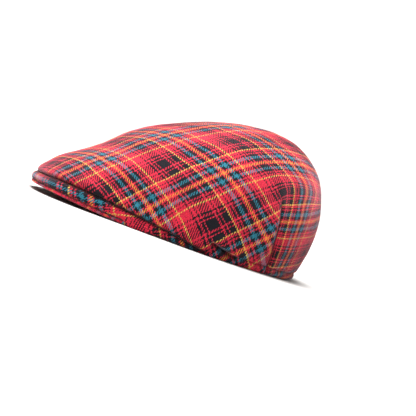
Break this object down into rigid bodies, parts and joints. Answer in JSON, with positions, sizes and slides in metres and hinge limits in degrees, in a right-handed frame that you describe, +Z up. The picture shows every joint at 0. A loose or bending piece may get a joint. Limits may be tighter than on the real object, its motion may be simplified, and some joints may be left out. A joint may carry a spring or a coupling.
{
  "type": "flat cap",
  "caption": "Soft cloth flat cap with a sloping crown, a short stiff arched peak, a strip along its front seam, rear darts and an inner sweatband.",
  "frame": {"origin": "below the middle of the cap, on the plane that the rim stands on", "axes": "+Z up out of the crown, -Y to the front where the peak is, +X to the wearer's left"},
  "size_m": [0.182, 0.2714, 0.126],
  "materials": {
    "tartan": "woven wool tartan, red and black with teal, yellow and orange lines",
    "peak_cloth": "the same wool tartan, smooth over a stiff board",
    "sweatband": "dark navy twill band"
  },
  "bodies": {
    "root": {"crown": "tartan", "front_strip": "tartan", "peak": "peak_cloth", "sweatband": "sweatband"}
  },
  "joints": []
}
